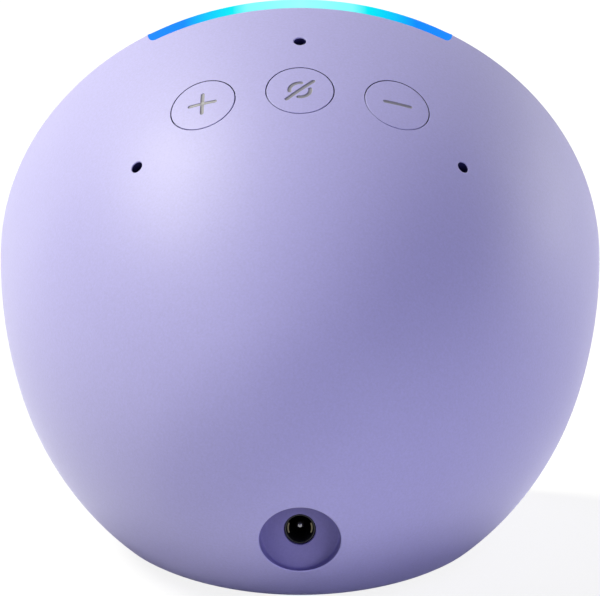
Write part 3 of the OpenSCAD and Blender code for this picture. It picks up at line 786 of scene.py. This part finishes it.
def in_driver(x, y, s):
    return from_lean(DRIVER_S + s, x, y)


def in_inlet(x, y, z):
    return np.stack([x, RECESS_Y + z, INLET_Z + y], -1)


def arc_points(middle_r, middle_h, r, turns):
    return [(middle_r + r * math.cos(a), middle_h + r * math.sin(a)) for a in turns]


def make_foot(material):
    """The round rubber foot, with three grooves underneath."""
    r, h, e = 24.6, FOOT_H, 0.3
    profile = [(0.5, h), (10, h), (20, h), (r - 0.15, h), (r, h - 0.15), (r, e), (r - 0.09, 0.09), (r - e, 0)]
    for groove in (22.4, 21.0, 19.6):
        profile += [(groove + 0.25, 0), (groove + 0.15, 0.25), (groove - 0.15, 0.25), (groove - 0.25, 0)]
    profile += [(14, 0), (7, 0), (0.5, 0)]
    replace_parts(lathe("foot_pad", profile, on_base, material, n=180), "rubber_foot")


def make_surround(material):
    """The driver's rubber edge: a half roll glued to the basket, and a lip that moves with the cone."""
    thick, roll_r, top, rim_r = 0.4, 1.5, -0.02, 22.9
    under = top - thick
    middle = CONE_R + 0.1 + roll_r
    roll = arc_points(middle, top, roll_r, np.linspace(-math.pi, -math.asin(thick / roll_r), 24))
    roll += [(rim_r - 0.05, under), (rim_r, under + 0.05), (rim_r, top)]
    roll += arc_points(middle, top, roll_r - thick, np.linspace(0, -math.pi, 20))
    lip_r, e = CONE_R - 0.8, 0.08
    lip = [(lip_r, top), (lip_r, under + e), (lip_r + e, under), (CONE_R - e, under), (CONE_R, under + e),
           (CONE_R, top)]
    for name, profile, body in (("surround_roll", roll, "body"), ("surround_lip", lip, "cone")):
        ring = lathe(name, profile, in_driver, material, body, open_middle=True)
        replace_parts(ring, "driver_surround")


def make_jack(material):
    """The jack's housing: a rounded block, its nose in the shell's hole, and the bore."""
    shape = Shape()
    n = 96
    c, s = circle(n)

    def block(y, cut):
        half, low_z, high_z, e = 4.5 - cut, 9.8 + cut, 21.2 - cut, 0.5
        mid_z, half_z = (low_z + high_z) / 2, (high_z - low_z) / 2
        scale = 1 / np.maximum(np.abs(c) / half, np.abs(s) / half_z)
        x, z = c * scale, s * scale
        past_x, past_z = np.abs(x) - half + e, np.abs(z) - half_z + e
        pull = e / np.maximum(np.hypot(np.maximum(past_x, 0), np.maximum(past_z, 0)), e)
        x = np.where(past_x > 0, np.sign(x) * (half - e + past_x * pull), x)
        z = np.where(past_z > 0, np.sign(z) * (half_z - e + past_z * pull), z)
        return np.stack([x, np.full(n, float(y)), mid_z + z], -1)

    back, front = RECESS_Y - 14, RECESS_Y - SOCKET_T
    nose, bore, e = SOCKET_R - 0.08, 2.1, 0.2
    loops = [block(back, e), block(back + e, 0), block(front - e, 0), block(front, e)]
    for r, depth in ((nose, SOCKET_T), (nose, 0.5), (nose - 0.1, 0.4), (2.35, 0.4), (2.25, 0.5), (2.12, 1.1),
                     (bore, 1.3), (bore, 7), (bore, 12)):
        loops.append(inlet_loop(r, RECESS_Y - depth, n))
    made = shape.loft(loops)
    shape.cap(made[0])
    shape.cap(made[-1])
    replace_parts(shape.build("jack_housing", material), "power_jack")


def make_pin(material):
    """The jack's centre pin, with a domed tip."""
    r, tip, root = 0.85, -2.0, -12
    profile = [(0.05, root), (r, root)] + arc_points(0, tip - r, r, np.linspace(0, 1.5, 12))
    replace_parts(lathe("centre_pin", profile, in_inlet, material, n=48), "jack_pin")


# ---- Materials ----

class Nodes:
    """A node tree for one material, with short calls."""

    def __init__(self, name):
        self.material = bpy.data.materials.new(name)
        self.material.use_nodes = True
        self.tree = self.material.node_tree
        self.shader = self.tree.nodes["Principled BSDF"]
        self.place = self.tree.nodes.new("ShaderNodeTexCoord").outputs["Object"]

    def add(self, kind, inputs=None, **settings):
        node = self.tree.nodes.new("ShaderNode" + kind)
        for key, value in settings.items():
            setattr(node, key, value)
        for key, value in (inputs or {}).items():
            self.put(node.inputs[key], value)
        return node

    def put(self, socket, value):
        if isinstance(value, bpy.types.NodeSocket):
            self.tree.links.new(value, socket)
        else:
            socket.default_value = value

    def math(self, kind, a, b=0.0, c=0.0):
        return self.add("Math", {0: a, 1: b, 2: c}, operation=kind).outputs[0]

    def noise(self, scale, detail=3.0, rough=0.5):
        return self.add("TexNoise", {"Vector": self.place, "Scale": scale, "Detail": detail,
                                     "Roughness": rough}).outputs["Fac"]

    def ramp(self, value, low, high):
        """Maps 0..1 to low..high as a number."""
        return self.add("MapRange", {"Value": value, "To Min": low, "To Max": high}).outputs["Result"]

    def mix(self, value, a, b):
        node = self.add("Mix", data_type="RGBA")
        self.put(node.inputs[0], value)
        self.put(node.inputs[6], (*a, 1) if isinstance(a, tuple) else a)
        self.put(node.inputs[7], (*b, 1) if isinstance(b, tuple) else b)
        return node.outputs[2]

    def bump(self, height, strength, distance, under=None):
        inputs = {"Height": height, "Strength": strength, "Distance": distance}
        if under is not None:
            inputs["Normal"] = under
        return self.add("Bump", inputs).outputs["Normal"]

    def set(self, **values):
        """Sets the shader's inputs, and returns the finished material."""
        names = {"color": "Base Color", "rough": "Roughness", "metal": "Metallic", "normal": "Normal",
                 "sheen": "Sheen Weight", "sheen_rough": "Sheen Roughness",
                 "specular": "Specular IOR Level", "glow": "Emission Color",
                 "glow_strength": "Emission Strength"}
        for key, value in values.items():
            if isinstance(value, tuple):
                value = (*value, 1)
            self.put(self.shader.inputs[names[key]], value)
        return self.material


def srgb(r, g, b):
    """Scene-linear colour from 0..255 values."""
    return tuple(((c / 255 + 0.055) / 1.055) ** 2.4 if c > 10 else c / 255 / 12.92 for c in (r, g, b))


def soft_touch(name, color, rough=0.5, grain=0.0, sheen=0.0):
    """Fine-grained satin plastic with small specks of tone and slight mottling of its gloss."""
    nodes = Nodes(name)
    paler = tuple(c * 1.03 for c in color)
    darker = tuple(c * 0.91 for c in color)
    blotch = nodes.noise(90, 4, 0.6)
    specks = nodes.math("MULTIPLY_ADD", nodes.noise(2600, 3, 0.6), 2.0, -0.5)
    fine = nodes.noise(5200, 2, 0.5)
    mid = nodes.noise(1500, 3, 0.6)
    normal = nodes.bump(mid, 0.1 + grain, 0.00002)
    normal = nodes.bump(fine, 0.25 + grain, 0.00001, normal)
    return nodes.set(color=nodes.mix(specks, paler, darker), normal=normal,
                     rough=nodes.ramp(blotch, rough - 0.04, rough + 0.04),
                     sheen=sheen, sheen_rough=0.45, specular=0.45)


def metal(name, color, rough):
    """Brushed metal with faint spots."""
    nodes = Nodes(name)
    stretched = nodes.add("Mapping", {"Vector": nodes.place, "Scale": (1, 1, 22)}).outputs["Vector"]
    grain = nodes.add("TexNoise", {"Vector": stretched, "Scale": 900.0, "Detail": 4.0}).outputs["Fac"]
    spots = nodes.noise(260, 4)
    darker = tuple(c * 0.8 for c in color)
    return nodes.set(color=nodes.mix(spots, color, darker), metal=1.0,
                     rough=nodes.ramp(grain, rough - 0.08, rough + 0.1),
                     normal=nodes.bump(grain, 0.1, 0.00002))


def rubber(name, color, rough):
    """Dull rubber with a trace of dust."""
    nodes = Nodes(name)
    dust = nodes.noise(400, 4, 0.65)
    fine = nodes.noise(3500, 2)
    paler = tuple(min(1, c * 1.15 + 0.004) for c in color)
    return nodes.set(color=nodes.mix(dust, color, paler), rough=nodes.ramp(dust, rough - 0.06, rough + 0.06),
                     normal=nodes.bump(fine, 0.15, 0.00002), specular=0.3)


def circuit(name, color):
    """Solder mask over fine tracks, with specks of bare copper."""
    nodes = Nodes(name)
    tracks = nodes.add("TexBrick", {"Vector": nodes.place, "Scale": 420.0, "Mortar Size": 0.012,
                                    "Mortar Smooth": 0.3, "Brick Width": 0.9, "Row Height": 0.35})
    vias = nodes.add("TexVoronoi", {"Vector": nodes.place, "Scale": 420.0}).outputs["Distance"]
    ring = nodes.add("MapRange", {"Value": vias, "From Min": 0.10, "From Max": 0.16,
                                  "To Min": 1.0, "To Max": 0.0}).outputs["Result"]
    lighter = tuple(min(1, c * 1.7 + 0.01) for c in color)
    mask = nodes.mix(tracks.outputs["Fac"], color, lighter)
    return nodes.set(color=nodes.mix(ring, mask, (0.75, 0.55, 0.28)), rough=0.38,
                     normal=nodes.bump(tracks.outputs["Fac"], 0.3, 0.00003), specular=0.5)


def wound(name, color, pitch):
    """Closely wound wire, in rings along the body's axis, darker in the grooves between turns: painted shade.
    """
    nodes = Nodes(name)
    along = nodes.add("VectorMath", {0: nodes.place, 1: tuple(AXIS)}, operation="DOT_PRODUCT")
    wave = nodes.math("SINE", nodes.math("MULTIPLY", along.outputs["Value"], 2 * math.pi / pitch))
    height = nodes.ramp(wave, 0.5, 1.0)
    # Painted shade: the wire's colour darkens where the winding's height is low.
    darker = tuple(c * 0.5 for c in color)
    return nodes.set(color=nodes.mix(height, darker, color), rough=0.35, metal=0.7,
                     normal=nodes.bump(height, 0.6, 0.0001))


def cloth(name, color, pitch):
    """Coarse woven cloth, stiffened with resin, darker where the weave sits low: painted shade."""
    nodes = Nodes(name)
    weave = nodes.add("TexChecker", {"Vector": nodes.place, "Scale": 1 / pitch}).outputs["Fac"]
    fray = nodes.noise(1 / pitch, 3)
    # Painted shade: the cloth darkens where the weave's height is low.
    darker = tuple(c * 0.6 for c in color)
    height = nodes.math("ADD", weave, fray)
    return nodes.set(color=nodes.mix(height, darker, color), rough=0.85,
                     normal=nodes.bump(height, 0.5, 0.0001), specular=0.2)


def knitted(name, color):
    """Rows of small V stitches over the leaning face, the yarn darkened where they sit low: painted shade in
    the hollows.
    """
    nodes = Nodes(name)
    pitch, row_share, slant = 0.00085, 0.72, 1.5
    across = nodes.add("SeparateXYZ", {0: nodes.place}).outputs[0]
    up = nodes.add("VectorMath", {0: nodes.place, 1: tuple(FACE_UP)}, operation="DOT_PRODUCT")
    column = nodes.math("FRACT", nodes.math("MULTIPLY", across, 1 / pitch))
    part = nodes.math("ABSOLUTE", nodes.math("SUBTRACT", column, 0.5))
    row = nodes.math("MULTIPLY", up.outputs["Value"], 1 / (row_share * pitch))
    row = nodes.math("ADD", row, nodes.math("MULTIPLY", part, slant))
    wave = nodes.math("COSINE", nodes.math("MULTIPLY", row, 2 * math.pi))
    loop = nodes.math("ADD", nodes.math("MULTIPLY", wave, 0.5), 0.5)
    groove = nodes.math("SUBTRACT", 1.0, nodes.math("POWER", nodes.math("MULTIPLY", part, 2.0), 6.0))
    seam = nodes.math("MINIMUM", nodes.math("MULTIPLY", part, 9.0), 1.0)
    height = nodes.math("MULTIPLY", nodes.math("MULTIPLY", loop, groove), seam)
    height = nodes.math("ADD", height, nodes.math("MULTIPLY", nodes.noise(9000, 3, 0.7), 0.25))
    # Painted shade: the yarn darkens to a third of its colour where the stitches sit low.
    hollow_shade = tuple(c * 0.32 for c in color)
    pale = tuple(min(1, c * 1.08) for c in color)
    yarn = nodes.mix(nodes.noise(160, 4, 0.6), color, pale)
    raised = nodes.add("MapRange", {"Value": height, "From Max": 0.75}).outputs["Result"]
    return nodes.set(color=nodes.mix(raised, hollow_shade, yarn), rough=0.9, sheen=0.25, sheen_rough=0.5,
                     specular=0.15, normal=nodes.bump(height, 0.7, 0.00018))


def glowing(name):
    """Frosted light guide: pale aqua in the middle of the bar, azure at its ends."""
    nodes = Nodes(name)
    across = nodes.add("SeparateXYZ", {0: nodes.place}).outputs[0]
    away = nodes.math("ABSOLUTE", across)
    part = nodes.add("MapRange", {"Value": away, "From Max": 0.0252}).outputs["Result"]
    ramp = nodes.add("ValToRGB", {0: part})
    stops = ((0.0, (158, 255, 255)), (0.34, (132, 255, 255)), (0.44, (0, 238, 246)), (0.64, (0, 190, 255)),
             (0.76, (0, 138, 255)), (1.0, (0, 134, 255)))
    points = ramp.color_ramp.elements
    while len(points) < len(stops):
        points.new(0.5)
    for point, (at, color) in zip(points, stops):
        point.position = at
        point.color = (*srgb(*color), 1)
    grain = nodes.noise(2500, 3)
    return nodes.set(color=(0.0, 0.01, 0.02), rough=nodes.ramp(grain, 0.4, 0.5), glow=ramp.outputs[0],
                     glow_strength=1.0, normal=nodes.bump(grain, 0.05, 0.00001), specular=0.05)


LAVENDER = srgb(182, 177, 239)
# Painted shade: a darker, bluer copy of the lavender for the recess's walls and floor.
RECESS_SHADE = srgb(126, 119, 183)
# Painted shade: a near-black violet for the walls deep in the button gaps and mic holes.
GAP_SHADE = srgb(34, 28, 88)

shell_plastic = soft_touch("shell_plastic", LAVENDER, 0.5, 0.0, 0.12)
# The recess plastic is the shell's plastic darkened: painted shade.
shaded_recess_plastic = soft_touch("shaded_recess_plastic", RECESS_SHADE, 0.55)
# The gap plastic is a near-black copy of the shell's plastic: painted shade.
gap_shade_plastic = soft_touch("gap_shade_plastic", GAP_SHADE, 0.6)
icon_paint = soft_touch("icon_paint", srgb(146, 144, 160), 0.4)
base_plastic = soft_touch("base_plastic", srgb(111, 105, 160), 0.55)
black_plastic = soft_touch("black_plastic", (0.012, 0.012, 0.014), 0.5)
jack_plastic = soft_touch("jack_plastic", (0.004, 0.004, 0.006), 0.45)
white_plastic = soft_touch("white_plastic", (0.82, 0.82, 0.84), 0.3)
epoxy = soft_touch("epoxy", (0.014, 0.014, 0.016), 0.6)
silicone = rubber("silicone", (0.21, 0.19, 0.27), 0.6)
foot_rubber = rubber("foot_rubber", (0.05, 0.042, 0.13), 0.8)
black_rubber = rubber("black_rubber", (0.012, 0.012, 0.014), 0.55)
pad_rubber = rubber("pad_rubber", (0.33, 0.45, 0.57), 0.7)
red_skin = rubber("red_insulation", (0.42, 0.02, 0.02), 0.4)
black_skin = rubber("black_insulation", (0.02, 0.02, 0.025), 0.4)
steel = metal("steel", (0.62, 0.63, 0.65), 0.3)
dark_steel = metal("dark_nickel", (0.16, 0.16, 0.17), 0.14)
tinned = metal("tinned_steel", (0.72, 0.73, 0.74), 0.35)
aluminium = metal("aluminium", (0.75, 0.76, 0.78), 0.45)
bronze = metal("spring_bronze", (0.09, 0.08, 0.055), 0.38)
foil = metal("antenna_foil", (0.75, 0.58, 0.26), 0.3)
ferrite = soft_touch("ferrite", (0.03, 0.03, 0.034), 0.7, 0.3)
basket_paint = soft_touch("basket_paint", (0.03, 0.03, 0.034), 0.6, 0.3)
pulp = soft_touch("coated_pulp", (0.018, 0.018, 0.02), 0.7, 0.4)
coil_wire = wound("coil_wire", (0.72, 0.30, 0.12), 0.0002)
spider_cloth = cloth("spider_cloth", (0.42, 0.25, 0.05), 0.0004)
green_board = circuit("green_board", (0.01, 0.09, 0.045))
flex_film = circuit("flex_film", (0.42, 0.19, 0.03))
clear_led = soft_touch("clear_package", (0.75, 0.86, 0.95), 0.2)
knit = knitted("knit", srgb(196, 188, 232))
glow = glowing("light_guide")

LOOKS = {
    shell_plastic: ("rear_shell", "volume_up_button", "mic_off_button", "volume_down_button"),
    knit: ("fabric_cover",),
    glow: ("light_bar",),
    black_plastic: ("front_frame", "front_baffle", "speaker_box", "volume_up_plunger", "mic_off_plunger",
                    "volume_down_plunger"),
    white_plastic: ("light_reflector", "board_connectors"),
    epoxy: ("button_switches", "board_chips"),
    jack_plastic: ("power_jack",),
    green_board: ("led_board", "mic_boards", "main_board", "jack_board"),
    flex_film: ("button_board", "button_ribbon"),
    clear_led: ("leds",),
    silicone: ("button_membrane", "mic_gaskets", "driver_gasket", "wire_grommet"),
    tinned: ("microphones", "shield_can"),
    steel: ("baffle_screws", "driver_screws", "driver_top_plate", "driver_yoke", "board_screws",
            "jack_screws", "base_screws"),
    dark_steel: ("jack_pin",),
    basket_paint: ("driver_basket",),
    ferrite: ("driver_magnet",),
    coil_wire: ("voice_coil",),
    pulp: ("driver_cone", "dust_cap"),
    black_rubber: ("driver_surround",),
    spider_cloth: ("driver_spider",),
    pad_rubber: ("thermal_pad",),
    aluminium: ("heat_spreader",),
    foil: ("antennas",),
    bronze: ("jack_contacts",),
    base_plastic: ("base_plate",),
    foot_rubber: ("rubber_foot",),
    red_skin: ("speaker_wires",),
    black_skin: ("power_wires",),
}
for look, nodes_with_it in LOOKS.items():
    for node in nodes_with_it:
        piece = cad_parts[node]
        if not piece.material_slots:
            piece.data.materials.append(look)
        for slot in piece.material_slots:
            slot.material = look

make_rear_shell(shell_plastic, shaded_recess_plastic, gap_shade_plastic)
for name, turn, icon in (("volume_up", BUTTON_STEP, plus_icon), ("mic_off", 0, mic_off_icon),
                         ("volume_down", -BUTTON_STEP, minus_icon)):
    make_button(name + "_cap", name, name + "_button", turn, icon, shell_plastic, icon_paint)
make_light_bar(glow)
make_fabric(knit)
make_foot(foot_rubber)
make_jack(jack_plastic)
make_surround(black_rubber)
make_pin(dark_steel)


# ---- Surroundings ----

def area_light(name, azimuth, elevation, size, power, color=(1, 1, 1)):
    """A square soft light; azimuth turns from straight behind the body towards its +X side."""
    a, e = math.radians(azimuth), math.radians(elevation)
    direction = Vector((math.sin(a) * math.cos(e), math.cos(a) * math.cos(e), math.sin(e)))
    light = bpy.data.lights.new(name, "AREA")
    light.size = size
    light.energy = power
    light.color = color
    obj = bpy.data.objects.new(name, light)
    obj.location = Vector((0, 0, 0.045)) + 1.5 * direction
    obj.rotation_euler = direction.to_track_quat("Z", "Y").to_euler()
    bpy.context.scene.collection.objects.link(obj)


def make_camera():
    """A long lens behind the body, a little above it."""
    elevation, distance = math.radians(17.4), 4.104
    target = Vector((0, -0.0011, 0.04513))
    back = Vector((0, math.cos(elevation), math.sin(elevation)))
    data = bpy.data.cameras.new("camera")
    data.lens = 1500
    data.sensor_width = 36
    data.clip_start, data.clip_end = 0.5, 60
    obj = bpy.data.objects.new("camera", data)
    obj.location = target + distance * back
    obj.rotation_euler = back.to_track_quat("Z", "Y").to_euler()
    bpy.context.scene.collection.objects.link(obj)
    bpy.context.scene.camera = obj


def plane(name, z, rays, material):
    """A wide level plane that only one kind of ray meets: camera, diffuse or glossy."""
    mesh = bpy.data.meshes.new(name)
    half = 30
    mesh.from_pydata([(-half, -half, z), (half, -half, z), (half, half, z), (-half, half, z)], [],
                     [(0, 1, 2, 3)])
    obj = bpy.data.objects.new(name, mesh)
    bpy.context.scene.collection.objects.link(obj)
    mesh.materials.append(material)
    obj.visible_camera = rays == "camera"
    obj.visible_diffuse = rays == "diffuse"
    obj.visible_glossy = rays == "glossy"
    return obj


def make_floor():
    """The pale floor that shows, and two just under it that light the body as a pale floor in its
    shade does: a grey one that sends light back up, and one that only the body's gloss reflects,
    which is a painted reflection with the body's shadow painted into it."""
    white = (1, 1, 1)
    pale = Nodes("pale_floor").set(color=(0.2, 0.2, 0.2), rough=0.9, specular=0.0, glow=white,
                                   glow_strength=0.86)
    grey = Nodes("grey_floor").set(color=(0.5, 0.5, 0.5), rough=0.9, specular=0.0)
    nodes = Nodes("gloss_floor")
    # Painted shadow: the gloss card gives no light within 3 cm of the body's middle. Just beyond that it
    # glows up to 1.9 times white, easing to 1.45 further out, as a painted sheen on the body's lower sides.
    away = nodes.add("VectorMath", {0: nodes.place}, operation="LENGTH").outputs["Value"]
    rise = nodes.add("MapRange", {"Value": away, "From Min": 0.03, "From Max": 0.046})
    fall = nodes.add("MapRange", {"Value": away, "From Min": 0.05, "From Max": 0.12, "To Min": 1.9,
                                  "To Max": 1.45})
    strength = nodes.math("MULTIPLY", rise.outputs["Result"], fall.outputs["Result"])
    bright = nodes.set(color=(0, 0, 0), rough=0.9, specular=0.0, glow=white, glow_strength=strength)
    plane("floor", 0, "camera", pale).visible_shadow = False
    plane("bounce", -0.0002, "diffuse", grey)
    plane("gloss", -0.0004, "glossy", bright)


def make_world():
    """A black room: all the light comes from the lamps and the floor."""
    world = bpy.data.worlds.new("studio")
    world.use_nodes = True
    world.node_tree.nodes["Background"].inputs["Color"].default_value = (0, 0, 0, 1)
    bpy.context.scene.world = world


make_camera()
make_floor()
make_world()
bpy.context.scene.view_settings.view_transform = "Standard"
area_light("key", 102, 50, 0.7, 29.5, (1.0, 1.0, 0.8))
area_light("front_left", 30, 5, 0.8, 4.4, (0.8, 0.8, 1.0))
area_light("front_right", -30, 5, 0.8, 7, (0.8, 0.8, 1.0))
area_light("fill_right", -60, 10, 0.8, 4, (0.8, 0.8, 1.0))
area_light("edge_right", -125, 5, 0.8, 8.5, (1.0, 1.0, 0.88))
area_light("rim_right", -150, 10, 0.8, 2.8)
area_light("rim_left", 150, 10, 0.8, 3, (1.0, 1.0, 0.8))
area_light("face", 180, 5, 0.8, 6)
